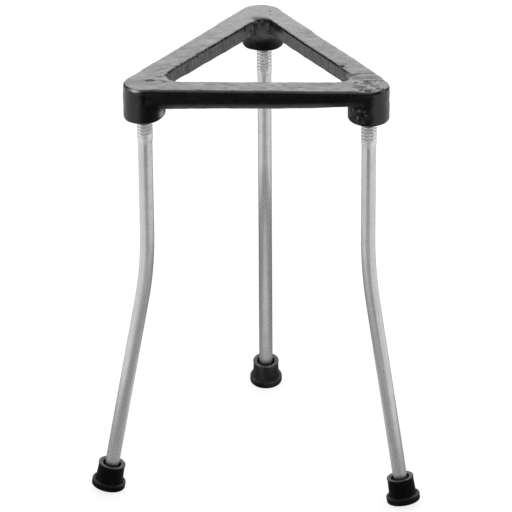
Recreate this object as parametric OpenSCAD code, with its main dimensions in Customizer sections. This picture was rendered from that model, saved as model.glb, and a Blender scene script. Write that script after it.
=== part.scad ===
// Laboratory tripod stand: a triangular cast top on three splayed rod legs with rubber feet.
// Millimetres, +Z up. The origin is on the bench, under the middle of the triangle. The front
// bar faces -Y and the back boss lies on +Y.

/* [Stand] */
// Height from the bench to the flat top of the casting
stand_h = 231; // [160:1:320]
// Distance between the axes of two neighbouring bosses
leg_spacing = 112.5; // [80:0.5:180]

/* [Casting] */
// Width of each bar, seen from above
bar_w = 12.7; // [10:0.1:16]
// Thickness of each bar, from the top face down
bar_t = 8.7; // [6:0.1:11]
// How far each bar's outer face lies inside the line that touches its two bosses
bar_set_in = 0.4; // [0.2:0.1:1.5]
// Diameter of each boss at the top face
boss_d = 20.7; // [17:0.1:28]
// Height of each boss, from the top face down
boss_h = 18.3; // [14:0.1:26]
// How much narrower each boss is at its bottom, across its diameter
boss_taper = 0.7; // [0:0.1:2]
// Radius of the casting's rounded edges
edge_r = 1.5; // [0.5:0.1:2.5]
// Radius of the triangular opening's corners
opening_corner_r = 8; // [5:0.5:10]
// Size of the fillet between each boss and the underside of its bars
fillet_r = 1.6; // [0.5:0.1:2.5]

/* [Legs] */
// Diameter of the rod
rod_d = 7.1; // [5:0.1:9]
// How far the rolled thread stands out from the rod
thread_rise = 0.4; // [0.2:0.1:0.8]
// Length of thread that shows below the boss on the left leg
thread_show_left = 14.6; // [4:0.1:30]
// Length of thread that shows below the boss on the right leg
thread_show_right = 15.2; // [4:0.1:30]
// Length of thread that shows below the boss on the back leg
thread_show_back = 17.8; // [4:0.1:30]
// Length over which the thread runs out into the plain rod
thread_fade = 1.2; // [0.5:0.1:3]
// Distance from the bottom of the boss down to the start of the bend
bend_drop = 64.5; // [40:0.5:90]
// Radius of the bend, at the middle of the rod
bend_r = 210; // [60:5:260]
// How much fatter the rod is through its bend, across its diameter
bend_swell = 0.06; // [0.04:0.01:0.2]
// Angle of the lower leg from the vertical
splay = 10.4; // [4:0.1:16]
// How far the left leg is turned in its thread from facing straight outward
turn_left = -28; // [-40:1:40]
// How far the right leg is turned in its thread from facing straight outward
turn_right = -2.5; // [-40:0.5:40]
// How far the back leg is turned in its thread from facing straight outward
turn_back = 2.5; // [-40:0.5:40]
// Chamfer on both ends of the rod
rod_chamfer = 0.7; // [0.2:0.1:1.2]

/* [Feet] */
// Height of each rubber foot along its leg
foot_h = 13.5; // [11:0.1:20]
// Gap around the rod in the mouth of the foot
mouth_gap = 1.15; // [0.6:0.05:1.6]
// Depth of the mouth, down to where it closes on the rod
mouth_depth = 4.5; // [2:0.1:6]
// Thickness of the cup's wall, just under its rim
cup_wall = 1.9; // [1.2:0.1:3]
// How much wider the cup is just above the flange, across its diameter
cup_flare = 0.5; // [0:0.1:1.5]
// How far the rim bead stands out from the cup
rim_out = 0.6; // [0.2:0.1:1]
// Thickness of the rim bead along the leg
rim_t = 1.8; // [1.2:0.1:2.5]
// How far the flange stands out from the cup
flange_out = 1.95; // [1.2:0.05:4]
// Thickness of the flange
flange_t = 3.6; // [2.5:0.1:4.5]
// Thickness of rubber under the end of the rod
foot_floor = 4; // [2.5:0.1:5]

/* [Fits] */
// Gap all round between the rod and what it is held in
fit_gap = 0.05; // [0.02:0.01:0.1]
// Free depth above the end of the thread in the boss
hole_spare = 1; // [0.5:0.1:1.5]
// Thickness of iron left between the top face and the end of each tapped hole
hole_roof = 3.2; // [2:0.1:4]

/* [Hidden] */
$fn = 96;

ANGLE_LEFT = 210;
ANGLE_RIGHT = -30;
ANGLE_BACK = 90;
boss_angles = [ANGLE_LEFT, ANGLE_RIGHT, ANGLE_BACK];
bar_angles = [-90, 30, 150];
over = 1; // how far a cutter runs past a face
lap = 0.5; // how far pieces of one solid run into each other
relief = 0.1; // how far the opening's corners are cut past the walls that they join
lip = 0.05; // step left at the edge of a fillet
drill_tip_r = 0.4; // small flat at the end of a drilled hole

// The triangle of the boss axes, and the straight walls of the bars
boss_reach = leg_spacing / sqrt(3);
outer_wall = boss_reach / 2 + boss_d / 2 - bar_set_in;
inner_wall = outer_wall - bar_w;
corner_reach = inner_wall - opening_corner_r;
bar_blank_w = bar_w + 0.75 * opening_corner_r; // each bar before the opening is cut out of it

// The thread and its hole
thread_d = rod_d + 2 * thread_rise;
hole_r = thread_d / 2 + fit_gap;
hole_tip_h = (hole_r - drill_tip_r) * tan(30);
hole_depth = boss_h - hole_roof - hole_tip_h;

// Heights
boss_bottom = stand_h - boss_h;
rod_top = boss_bottom + hole_depth - hole_spare;
bend_start = boss_bottom - bend_drop;

// The foot, from the rod outward
mouth_r = rod_d / 2 + mouth_gap;
cup_neck_r = mouth_r + cup_wall;
cup_r = cup_neck_r + cup_flare / 2;
rim_r = cup_neck_r + rim_out;
flange_r = cup_r + flange_out;

// The foot stands on the lowest point of its tilted flange
flange_edge = 0.5; // radius of the flange's edge below
flange_shoulder = 1; // radius of the flange's edge above
foot_z = (flange_r - flange_edge) * sin(splay) - flange_edge * cos(splay) + flange_edge;
bend_end = [bend_r * (1 - cos(splay)), bend_start - bend_r * sin(splay)];
lower_leg = (bend_end[1] - foot_z) / cos(splay);

cast_black = [0.09, 0.09, 0.1];
bright_steel = [0.74, 0.75, 0.76];
foot_rubber = [0.07, 0.07, 0.07];

// ---- Placing ----

// At a boss's axis on the bench, with +X pointing straight outward
module at_boss(angle) {
    rotate([0, 0, angle])
        translate([boss_reach, 0, 0])
            children();
}

// Along the lower leg, with the origin at the middle of the foot's underside
module at_foot() {
    translate([bend_end[0], 0, bend_end[1]])
        rotate([0, -splay, 0])
            translate([0, 0, -lower_leg])
                children();
}

// ---- Casting ----

// Outline of a bar's outer side, seen from its end: rounded above and below
module bar_outline() {
    translate([outer_wall - bar_blank_w, -bar_t + edge_r])
        square([bar_blank_w, bar_t - 2 * edge_r]);
    translate([outer_wall - bar_blank_w, -bar_t])
        square([bar_blank_w - edge_r, bar_t]);
    for (y = [-edge_r, edge_r - bar_t])
        translate([outer_wall - edge_r, y])
            circle(edge_r);
}

module bar() {
    translate([0, 0, stand_h])
        rotate([90, 0, 0])
            linear_extrude(height = leg_spacing, center = true)
                bar_outline();
}

module boss() {
    top_r = boss_d / 2;
    low_r = (boss_d - boss_taper) / 2;
    translate([0, 0, stand_h])
        rotate_extrude() {
            polygon([
                [0, 0], [top_r - edge_r, 0], [top_r, -edge_r], [top_r, -bar_t],
                [low_r, edge_r - boss_h], [low_r - edge_r, -boss_h], [0, -boss_h],
            ]);
            translate([top_r - edge_r, -edge_r])
                circle(edge_r);
            translate([low_r - edge_r, edge_r - boss_h])
                circle(edge_r);
        }
}

// Side of the opening, seen from its end: it widens at both edges of the casting
module opening_side(wall) {
    difference() {
        translate([0, -bar_t - over])
            square([wall + edge_r, bar_t + 2 * over]);
        translate([wall, edge_r - bar_t])
            square([edge_r + over, bar_t - 2 * edge_r]);
        for (y = [-edge_r, edge_r - bar_t])
            translate([wall + edge_r, y])
                circle(edge_r);
    }
}

// The opening is cut in two steps: a round hole in each corner, then the middle and its walls
module opening_corners() {
    for (a = boss_angles)
        rotate([0, 0, a])
            translate([2 * corner_reach, 0, stand_h])
                rotate_extrude()
                    opening_side(opening_corner_r + relief);
}

module opening_middle() {
    inward = opening_corner_r / 2;
    translate([0, 0, stand_h - bar_t - over])
        linear_extrude(height = bar_t + 2 * over)
            polygon([for (a = boss_angles) 2 * corner_reach * [cos(a), sin(a)]]);
    for (a = bar_angles)
        rotate([0, 0, a])
            translate([corner_reach - inward, 0, stand_h])
                rotate([90, 0, 0])
                    linear_extrude(height = 2 * sqrt(3) * corner_reach, center = true)
                        opening_side(opening_corner_r + inward);
}

// Fillet around a boss, where the flat underside of the bars runs into it
module boss_fillet() {
    ring_r = boss_d / 2 + fillet_r;
    translate([0, 0, stand_h - bar_t])
        rotate_extrude()
            difference() {
                translate([boss_d / 2 - over, -fillet_r - lip])
                    square([fillet_r + over, fillet_r + lip + lap]);
                translate([ring_r, -fillet_r - lip])
                    circle(fillet_r);
            }
}

module bar_underside() {
    translate([inner_wall + edge_r, -leg_spacing / 2, stand_h - bar_t - fillet_r - over])
        cube([bar_w - 2 * edge_r, leg_spacing, fillet_r + 2 * over]);
}

module tapped_hole() {
    wall_top = boss_bottom + hole_depth;
    rotate_extrude()
        polygon([
            [0, boss_bottom - over], [hole_r, boss_bottom - over], [hole_r, wall_top],
            [drill_tip_r, wall_top + hole_tip_h], [0, wall_top + hole_tip_h],
        ]);
}

module casting_blank() {
    for (a = bar_angles)
        rotate([0, 0, a])
            bar();
    for (a = boss_angles)
        at_boss(a)
            boss();
    intersection() {
        union()
            for (a = boss_angles)
                at_boss(a)
                    boss_fillet();
        union()
            for (a = bar_angles)
                rotate([0, 0, a])
                    bar_underside();
    }
}

module triangle_top() {
    color(cast_black)
        difference() {
            difference() {
                union()
                    casting_blank();
                opening_corners();
            }
            opening_middle();
            for (a = boss_angles)
                at_boss(a)
                    tapped_hole();
        }
}

// ---- Legs ----

module leg(thread_show) {
    rod_r = rod_d / 2;
    thread_r = thread_d / 2;
    thread_end = boss_bottom - thread_show;
    color(bright_steel) {
        // upper leg, from just inside the bend up to the chamfered tip of the thread
        rotate_extrude()
            polygon([
                [0, bend_start - lap], [rod_r, bend_start - lap],
                [rod_r, thread_end - thread_fade], [thread_r, thread_end],
                [thread_r, rod_top - rod_chamfer], [thread_r - rod_chamfer, rod_top],
                [0, rod_top],
            ]);
        // bend
        translate([bend_r, 0, bend_start])
            rotate([90, 0, 0])
                rotate([0, 0, 180])
                    rotate_extrude(angle = splay)
                        translate([bend_r, 0])
                            circle(d = rod_d + bend_swell);
        // lower leg, from just inside the bend down to the floor of the foot's socket
        at_foot()
            rotate_extrude()
                polygon([
                    [0, foot_floor], [rod_r - rod_chamfer, foot_floor],
                    [rod_r, foot_floor + rod_chamfer], [rod_r, lower_leg + lap],
                    [0, lower_leg + lap],
                ]);
    }
}

module leg_left() {
    at_boss(ANGLE_LEFT)
        rotate([0, 0, turn_left])
            leg(thread_show_left);
}

module leg_right() {
    at_boss(ANGLE_RIGHT)
        rotate([0, 0, turn_right])
            leg(thread_show_right);
}

module leg_back() {
    at_boss(ANGLE_BACK)
        rotate([0, 0, turn_back])
            leg(thread_show_back);
}

// ---- Feet ----

// Half section of a foot, with the axis of the leg on the Y axis
module foot_section() {
    bead = rim_t / 2;
    socket_r = rod_d / 2 + fit_gap;
    mouth_floor = foot_h - mouth_depth;
    difference() {
        union() {
            // flange, with a shoulder above and a tight edge below
            translate([0, flange_edge])
                square([flange_r, flange_t - flange_shoulder - flange_edge]);
            square([flange_r - flange_edge, flange_t]);
            translate([flange_r - flange_edge, flange_edge])
                circle(flange_edge);
            translate([flange_r - flange_shoulder, flange_t - flange_shoulder])
                circle(flange_shoulder);
            // cup
            polygon([
                [0, flange_t - over], [cup_r, flange_t - over], [cup_r, flange_t],
                [cup_neck_r, foot_h - rim_t], [cup_neck_r, foot_h], [0, foot_h],
            ]);
            // rim bead
            square([rim_r - bead, foot_h]);
            translate([rim_r - bead, foot_h - bead])
                circle(bead);
        }
        translate([-over, mouth_floor])
            square([mouth_r + over, mouth_depth + over]);
        translate([-over, foot_floor])
            square([socket_r + over, foot_h]);
    }
}

module foot() {
    color(foot_rubber)
        at_foot()
            rotate_extrude()
                foot_section();
}

module foot_left() {
    at_boss(ANGLE_LEFT)
        rotate([0, 0, turn_left])
            foot();
}

module foot_right() {
    at_boss(ANGLE_RIGHT)
        rotate([0, 0, turn_right])
            foot();
}

module foot_back() {
    at_boss(ANGLE_BACK)
        rotate([0, 0, turn_back])
            foot();
}

triangle_top();
leg_left();
leg_right();
leg_back();
foot_left();
foot_right();
foot_back();
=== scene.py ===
import math

import bmesh
import bpy
import numpy as np
from mathutils import Matrix, Vector


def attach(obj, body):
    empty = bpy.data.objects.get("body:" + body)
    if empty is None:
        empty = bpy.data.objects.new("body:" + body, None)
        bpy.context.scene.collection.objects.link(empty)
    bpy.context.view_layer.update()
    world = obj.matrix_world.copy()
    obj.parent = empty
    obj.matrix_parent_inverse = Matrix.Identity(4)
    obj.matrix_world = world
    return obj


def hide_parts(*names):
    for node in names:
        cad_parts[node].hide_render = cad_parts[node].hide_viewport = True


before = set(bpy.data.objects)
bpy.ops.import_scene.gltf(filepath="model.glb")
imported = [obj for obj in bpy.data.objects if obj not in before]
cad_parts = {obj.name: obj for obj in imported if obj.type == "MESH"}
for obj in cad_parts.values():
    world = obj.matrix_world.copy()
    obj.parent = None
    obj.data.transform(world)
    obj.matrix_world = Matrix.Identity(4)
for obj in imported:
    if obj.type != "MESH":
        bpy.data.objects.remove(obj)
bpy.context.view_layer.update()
scene = bpy.context.scene
mm = 0.001

# the stand's main sizes in millimetres: the same as the solid parts have
stand = {
    "height": 231.0,
    "legSpacing": 112.5,
    "bossHeight": 18.3,
    "threadInside": 12.02,
}
# angle of each boss round the middle, turn of its leg in the thread, how far the thickened end
# and its grooves show below the boss, where its helix starts, and how grey its foot is
legPlaces = {
    "left": {
        "angle": 210.0, "turn": -28.0, "threadShows": 14.6, "groovesShow": 11.0,
        "wander": 0.3, "greyed": 0.0,
    },
    "right": {
        "angle": -30.0, "turn": -2.5, "threadShows": 15.2, "groovesShow": 12.6,
        "wander": 2.4, "greyed": 0.0,
    },
    "back": {
        "angle": 90.0, "turn": 2.5, "threadShows": 17.8, "groovesShow": 15.0,
        "wander": 4.1, "greyed": 1.0,
    },
}
bossReach = stand["legSpacing"] / math.sqrt(3)
bossBottom = stand["height"] - stand["bossHeight"]
rodTop = bossBottom + stand["threadInside"]


def bossCentre(place):
    turn = math.radians(legPlaces[place]["angle"])
    return bossReach * math.cos(turn), bossReach * math.sin(turn)


def addObject(name, data):
    added = bpy.data.objects.new(name, data)
    scene.collection.objects.link(added)
    return added


# the mesh that an object's modifiers make; the object itself goes
def finishedMesh(maker, name):
    graph = bpy.context.evaluated_depsgraph_get()
    mesh = bpy.data.meshes.new_from_object(maker.evaluated_get(graph), depsgraph=graph)
    mesh.name = name
    maker.modifiers.clear()
    bpy.data.objects.remove(maker)
    return mesh


def grey(level):
    return (level, level, level, 1.0)


# a socket that can be reckoned with like a number
class Value:
    def __init__(self, socket):
        self.socket = socket
        self.tree = socket.id_data

    def do(self, operation, *others, clamp=False):
        return calc(self.tree, operation, self, *others, clamp=clamp)

    def __add__(self, other):
        return self.do("ADD", other)

    def __sub__(self, other):
        return self.do("SUBTRACT", other)

    def __rsub__(self, other):
        return calc(self.tree, "SUBTRACT", other, self)

    def __mul__(self, other):
        return self.do("MULTIPLY", other)

    def __truediv__(self, other):
        return self.do("DIVIDE", other)

    def __rtruediv__(self, other):
        return calc(self.tree, "DIVIDE", other, self)


def put(socket, value):
    if isinstance(value, Value):
        value = value.socket
    if isinstance(value, bpy.types.NodeSocket):
        socket.id_data.links.new(value, socket)
    else:
        socket.default_value = value


def feed(node, values):
    for title, value in values.items():
        put(node.inputs[title], value)


def addNode(tree, kind, *values, **settings):
    node = tree.nodes.new(kind)
    for key, setting in settings.items():
        setattr(node, key, setting)
    for socket, value in zip([s for s in node.inputs if s.enabled], values):
        put(socket, value)
    return node


def calc(tree, operation, *values, clamp=False):
    node = addNode(tree, "ShaderNodeMath", *values, operation=operation, use_clamp=clamp)
    return Value(node.outputs[0])


def spread(value, *ends, curve="LINEAR"):
    node = addNode(value.tree, "ShaderNodeMapRange", value, *ends, interpolation_type=curve)
    return Value(node.outputs[0])


def eased(value, fromLow, fromHigh, toLow=0.0, toHigh=1.0):
    return spread(value, fromLow, fromHigh, toLow, toHigh, curve="SMOOTHSTEP")


def blended(share, first, second):
    return Value(addNode(share.tree, "ShaderNodeMix", share, first, second).outputs[0])


# share of the second colour or grey level over the first one
def mixed(share, first, second):
    colours = [grey(c) if isinstance(c, float) else c for c in (first, second)]
    return Value(addNode(share.tree, "ShaderNodeMix", share, *colours, data_type="RGBA").outputs[2])


def newTree(name, kind, inputs, outputs):
    tree = bpy.data.node_groups.new(name, kind)
    for side, sockets in (("INPUT", inputs), ("OUTPUT", outputs)):
        for title, socketKind in sockets.items():
            tree.interface.new_socket(title, in_out=side, socket_type="NodeSocket" + socketKind)
    given = tree.nodes.new("NodeGroupInput").outputs
    out = tree.nodes.new("NodeGroupOutput").inputs
    return tree, {socket.name: Value(socket) for socket in given if socket.name}, out


# grain: soft noise of a given size, stretched between two levels
def makeGrainGroup():
    inputs = {"Place": "Vector"} | dict.fromkeys(("Size", "Detail", "Low", "High"), "Float")
    tree, given, out = newTree("castAndMouldGrain", "ShaderNodeTree", inputs, {"Level": "Float"})
    noise = tree.nodes.new("ShaderNodeTexNoise")
    feed(noise, {"Vector": given["Place"], "Scale": 1.0 / given["Size"], "Detail": given["Detail"]})
    put(out["Level"], spread(Value(noise.outputs[0]), given["Low"], given["High"], 0.0, 1.0))
    return tree


# dust: small pale specks, each in a cell of its own, in only some of the cells
def makeDustGroup():
    inputs = {"Place": "Vector"} | dict.fromkeys(("Spacing", "Speck", "Share"), "Float")
    tree, given, out = newTree("dustSpecks", "ShaderNodeTree", inputs, {"Dust": "Float"})
    cells = tree.nodes.new("ShaderNodeTexVoronoi")
    feed(cells, {"Vector": given["Place"], "Scale": 1.0 / given["Spacing"]})
    luck = addNode(tree, "ShaderNodeSeparateColor", cells.outputs["Color"]).outputs
    chosen = Value(luck[0]).do("LESS_THAN", given["Share"])
    reach = given["Speck"] * (Value(luck[1]) + 0.4)
    put(out["Dust"], spread(Value(cells.outputs["Distance"]), 0.0, reach, 1.0, 0.0) * chosen)
    return tree


grainGroup = makeGrainGroup()
dustGroup = makeDustGroup()


def useGroup(group, place, **values):
    node = place.tree.nodes.new("ShaderNodeGroup")
    node.node_tree = group
    feed(node, {"Place": place, **values})
    return Value(node.outputs[0])


def grainAt(place, size, detail, low, high):
    return useGroup(grainGroup, place, Size=size, Detail=detail, Low=low, High=high)


def dustAt(place, spacing, speck, share):
    return useGroup(dustGroup, place, Spacing=spacing, Speck=speck, Share=share)


# a place measured closer or wider along each direction, so that a pattern on it is drawn out
def stretched(place, amounts):
    node = addNode(place.tree, "ShaderNodeVectorMath", place, amounts, operation="MULTIPLY")
    return Value(node.outputs[0])


def bumped(height, strength, distance):
    bump = height.tree.nodes.new("ShaderNodeBump")
    feed(bump, {"Height": height, "Strength": strength, "Distance": distance})
    return bump.outputs[0]


def readMask(tree, title, output="Fac"):
    return Value(addNode(tree, "ShaderNodeAttribute", attribute_name=title).outputs[output])


def newMaterial(name):
    material = bpy.data.materials.new(name)
    material.use_nodes = True
    tree = material.node_tree
    place = Value(tree.nodes.new("ShaderNodeTexCoord").outputs["Object"])
    return material, tree, tree.nodes["Principled BSDF"], place


enamelLook = {
    "thin": 0.0030,  # colour over the high spots
    "thick": 0.0018,
    "filmAndPaintedHighlight": 0.08,  # colour of the grey film, and of the painted highlight on the front bar's lower edge, where they lie thickest
    "paintedSheen": 0.036,  # painted sheen: a lighter colour on the calm top round the back corner
    "rubbedAndPaintedHighlight": 0.45,  # colour of the painted highlights, and of the rubbed pale specks
    "dust": 0.16,
    "smooth": 0.17,  # roughness where the enamel lies well
    "dull": 0.32,
    "filmDull": 0.25,  # roughness added by film and dust, and by the painted shade
    "paintedShadeDull": 0.2,
    "paintedShadeDepth": 0.8,
    # noises: size, detail, and the two levels each is stretched between
    "lump": (0.0042, 3.0, 0.35, 0.68),
    "grain": (0.0016, 3.0, 0.25, 0.75),
    "strokes": (0.0011, 3.0, 0.38, 0.64),  # tool strokes down the walls of the opening
    "strokeStretch": (1.0, 1.0, 0.2),
    "specks": (0.0016, 0.17),  # spacing and size of the dust specks
    "dustShare": 0.06,  # share of the cells that hold a speck, and more of them in the film
    "dustInFilm": 0.3,
    # how much each adds to the bump's height
    "lumpBump": 0.45,
    "raggedBump": 0.5,
    "paintedShadeBump": 0.5,
    "calmBump": -0.65,
    "grainBump": 0.2,
    "strokeBump": 0.7,
    "bump": (0.5, 0.00025),  # strength and distance
    "ior": 1.45,
}


def makeEnamel():
    material, tree, shader, place = newMaterial("blackEnamelOnIron")
    look = enamelLook
    lump = grainAt(place, *look["lump"])
    grain = grainAt(place, *look["grain"])
    strokes = grainAt(stretched(place, look["strokeStretch"]), *look["strokes"])
    titles = ("ragged", "calmAndPaintedSheen", "filmAndPaintedHighlight", "walls", "paintedShade", "rubbedAndPaintedHighlight")
    ragged, calmAndPaintedSheen, filmAndPaintedHighlight, walls, paintedShade, rubbedAndPaintedHighlight = (readMask(tree, title) for title in titles)
    hanging = filmAndPaintedHighlight.do("SUBTRACT", walls, clamp=True)
    dust = dustAt(place, *look["specks"], hanging * look["dustInFilm"] + look["dustShare"])
    stroked = walls * (strokes - 1.0) + 1.0
    cover = (filmAndPaintedHighlight * stroked).do("MULTIPLY", grain * 0.5 + 0.7, clamp=True)
    covered = cover.do("MAXIMUM", rubbedAndPaintedHighlight).do("MAXIMUM", dust)
    paint = mixed(lump, look["thin"], look["thick"])
    # painted sheen: the calm top towards the back corner is given a lighter colour
    paint = mixed(calmAndPaintedSheen, paint, look["paintedSheen"])
    paint = mixed(cover, paint, look["filmAndPaintedHighlight"])
    paint = mixed(rubbedAndPaintedHighlight, paint, look["rubbedAndPaintedHighlight"])
    dull = lump * (look["dull"] - look["smooth"]) + look["smooth"]
    coarse = ragged * look["raggedBump"] + look["lumpBump"] + paintedShade * look["paintedShadeBump"]
    height = (lump * coarse + grain * look["grainBump"]) * (calmAndPaintedSheen * look["calmBump"] + 1.0)
    feed(shader, {
        "Base Color": mixed(dust, paint, look["dust"]),
        "Roughness": dull + covered * look["filmDull"] + paintedShade * look["paintedShadeDull"],
        "Metallic": paintedShade * (1.0 - covered) * look["paintedShadeDepth"],  # painted shade: here the black enamel is made metallic, so it loses its diffuse light and looks darker
        "Normal": bumped(height + strokes * walls * look["strokeBump"], *look["bump"]),
        "IOR": look["ior"],
    })
    return material


rodLook = {
    "bright": 0.60,
    "clouded": 0.51,
    "spotted": 0.357,
    "threadBright": 0.70,
    # painted shade: colour in the thread's grooves
    "grooveShade": 0.47,
    "mouthShade": 0.01,  # colour of the painted shade on the rod inside the foot's mouth, and how strong it is
    "mouthShadeDepth": 0.8,
    "metallic": 0.75,
    "smooth": 0.20,
    "dull": 0.32,
    "threadDull": 0.43,
    # noises: size, detail, and the two levels each is stretched between
    "lines": (0.0006, 3.0, 0.3, 0.7),  # left along the rod by the drawing
    "lineStretch": (1.0, 1.0, 0.012),
    "cloud": (0.009, 4.0, 0.35, 0.65),
    "spots": (0.0011, 2.0, 0.55, 0.75),
    "lineShare": 0.6,  # share of the lines in the tone, the clouds have the rest
    "spotShare": 0.2,
    "spotBump": 0.4,
    "bump": (0.25, 0.00004),
}


def makePlating():
    material, tree, shader, place = newMaterial("zincOnDrawnRod")
    look = rodLook
    drawn = stretched(readMask(tree, "rodPlace", "Vector"), look["lineStretch"])
    lines = grainAt(drawn, *look["lines"])
    cloud = grainAt(place, *look["cloud"])
    spots = grainAt(place, *look["spots"])
    threaded = readMask(tree, "threaded")
    tone = lines * look["lineShare"] + cloud * (1 - look["lineShare"])
    zinc = mixed(tone, look["clouded"], look["bright"])
    zinc = mixed(spots * look["spotShare"], zinc, look["spotted"])
    zinc = mixed(threaded, zinc, look["threadBright"])
    # painted shade: the thread's grooves darker than its crests
    zinc = mixed(readMask(tree, "threadCrest"), look["grooveShade"], zinc)
    dull = tone * (look["smooth"] - look["dull"]) + look["dull"]
    feed(shader, {
        # painted shade: the rod near-black inside the foot's mouth
        "Base Color": mixed(readMask(tree, "mouthShaded") * look["mouthShadeDepth"], zinc, look["mouthShade"]),
        "Roughness": dull.do("MAXIMUM", threaded * look["threadDull"]),
        "Metallic": look["metallic"],
        "Normal": bumped(spots * look["spotBump"] + lines, *look["bump"]),
    })
    return material


rubberLook = {
    "black": 0.0016,
    "bloom": 0.006,
    "greyed": 0.034,  # colour of the back foot, which is greyer than the others
    "rim": 0.1,  # colour of the painted highlight on the ring round the mouth
    "dust": 0.2,
    "shine": 0.09,
    "satin": 0.30,
    "dull": 0.46,
    # noises: size, detail, and the two levels each is stretched between
    "cloud": (0.0035, 4.0, 0.35, 0.7),
    "grain": (0.0004, 2.0, 0.3, 0.7),
    "specks": (0.0012, 0.2),  # spacing and size
    "dustShare": 0.06,
    "dustDepth": 0.6,
    "greyedClouds": 0.5,  # how much the clouds thin the grey, and the painted highlight on the ring
    "rimHighlightClouds": 0.6,
    "cloudBump": 0.8,
    "grainBump": 0.25,
    "bump": (0.35, 0.00012),
    "ior": 1.4,
}


def makeRubber():
    material, tree, shader, place = newMaterial("mouldedBlackRubber")
    look = rubberLook
    cloud = grainAt(place, *look["cloud"])
    grain = grainAt(place, *look["grain"])
    dust = dustAt(place, *look["specks"], look["dustShare"])

    def thinned(title, share):
        return readMask(tree, title) * (cloud * share + (1 - share))

    skin = mixed(readMask(tree, "scuffed") * cloud, look["black"], look["bloom"])
    skin = mixed(thinned("greyed", look["greyedClouds"]), skin, look["greyed"])
    skin = mixed(thinned("rubbedAndPaintedHighlight", look["rimHighlightClouds"]), skin, look["rim"])
    height = cloud * look["cloudBump"] + grain * look["grainBump"]
    feed(shader, {
        "Base Color": mixed(dust * look["dustDepth"], skin, look["dust"]),
        "Roughness": spread(cloud, 0.0, 1.0, look["satin"], look["dull"]),
        "Normal": bumped(height, *look["bump"]),
        "IOR": look["ior"],
        "Specular IOR Level": look["shine"],
    })
    return material


enamel = makeEnamel()
plating = makePlating()
rubber = makeRubber()
print("materials made")


def addPiece(name, mesh, material, node):
    piece = addObject(name, mesh)
    mesh.materials.clear()
    mesh.materials.append(material)
    mesh.polygons.foreach_set("material_index", np.zeros(len(mesh.polygons), dtype=np.int32))
    mesh.shade_smooth()
    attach(piece, "root")
    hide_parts(node)
    return piece


# The casting. Its surface is where castingField is nought: bars and bosses run into each other
# with the soft fillets of a sand mould, and lumps are raised on that surface afterwards.
casting = {
    # corners of the line inside the outer faces, and how far those faces are from it
    "outline": ((-56.6, -32.3), (56.3, -32.5), (-0.85, 64.75)),
    "outerOffset": 9.95,
    "barWidth": 12.7,
    # more width of the left bar: at its front, growing along it, and again towards its back
    "leftBarWider": (0.64, 0.46, 0.46),
    "rightBarOut": 1.0,
    "frontEdgeTurn": 0.02,  # slope of the opening's front edge
    "sideBar": (7.8, 8.4),  # thickness of the side bars at the front and at the back
    # thickness of the front bar at its middle, growth to the left, and loss to the right
    "frontBar": (10.1, -0.018, -0.0007),
    "innerCorners": {"left": 8.7, "right": 9.2, "back": 4.6},
    "topEdge": (0.85, 1.5),  # rounding on the opening's side and on the outer side
    "lowEdge": (1.3, 2.6),
    # the right inner corner rolls over into the opening: place, reach, and added rounding
    "rolledCorner": (44.5, -24.5),
    "rolledReach": (3.0, 9.0),
    "rolledEdge": 2.6,
    # each boss: where its middle is from the leg's, its radius above and below, how far it hangs
    # too low, and how its underside leans
    "bosses": {
        "left": (0.1, 0.0, 10.3, 10.75, 0.3, 0.03),
        "right": (-0.35, 0.0, 10.25, 10.6, 0.5, 0.0),
        "back": (-0.6, -0.5, 9.7, 11.0, 0.1, 0.0),
    },
    "bossTaper": 0.012,  # loss of radius per millimetre of depth
    # rounding of each boss on the outer and the inner side
    "bossEdge": {"left": (1.5, 3.1), "right": (1.5, 2.1), "back": (1.5, 1.5)},
    "fillet": 2.8,
    "holeRadius": 4.08,
    "holeMouth": 0.7,  # the hole's countersink
    "voxel": 0.5,
    "lumps": ((9.0, 0.2), (3.6, 0.085), (1.6, 0.024)),  # size and height of the cast lumps
    "seed": 11,
}
sideBarRun = (0.5, 0.866)  # cosine and sine of a side bar's direction


def softMin(first, second, blend):
    mix = np.clip(0.5 + 0.5 * (second - first) / blend, 0, 1)
    return second + (first - second) * mix - blend * mix * (1 - mix)


def softStep(value, low, high):
    t = np.clip((value - low) / (high - low), 0, 1)
    return t * t * (3 - 2 * t)


def fadeOut(value, low, high):
    return 1 - softStep(value, low, high)


def bell(distance, width):
    return np.exp(-((distance / width) ** 2))


def between(pair, share):
    return pair[0] + (pair[1] - pair[0]) * share


def roundedEdge(first, second, radius):
    a, b = first + radius, second + radius
    return np.minimum(np.maximum(a, b), 0) + np.hypot(np.maximum(a, 0), np.maximum(b, 0)) - radius


# signed distance to a triangle, negative inside; the corners run anticlockwise
def triangleDistance(x, y, corners):
    nearest = np.full(x.shape, 1e9)
    inside = np.full(x.shape, True)
    for (ax, ay), (bx, by) in zip(corners, corners[1:] + corners[:1]):
        ex, ey = bx - ax, by - ay
        t = np.clip(((x - ax) * ex + (y - ay) * ey) / (ex * ex + ey * ey), 0, 1)
        nearest = np.minimum(nearest, np.hypot(x - ax - t * ex, y - ay - t * ey))
        inside &= ex * (y - ay) - ey * (x - ax) > 0
    return np.where(inside, -nearest, nearest)


def cornerTriangle(reach):
    return [(reach * math.cos(a), reach * math.sin(a)) for a in map(math.radians, (210, 330, 90))]


def awayFromBoss(x, y, place):
    cx, cy = bossCentre(place)
    return np.hypot(x - cx, y - cy)


# how far a place lies from the left corner towards the back one, or from the right corner
# towards it, and how far outward over that bar
def alongBar(x, y, side):
    cx, cy = casting["outline"][0 if side < 0 else 1]
    cosine, sine = sideBarRun
    return -side * cosine * (x - cx) + sine * (y - cy), side * sine * x + cosine * y


# the right bar stands a little outward towards its front end
def unbentPlace(x, y):
    along, over = alongBar(x, y, 1)
    cosine, sine = sideBarRun
    out = casting["rightBarOut"] * fadeOut(along, 34, 68) * softStep(along, -3, 12)
    out *= softStep(over, 18, 27)
    return x - sine * out, y - cosine * out


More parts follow.
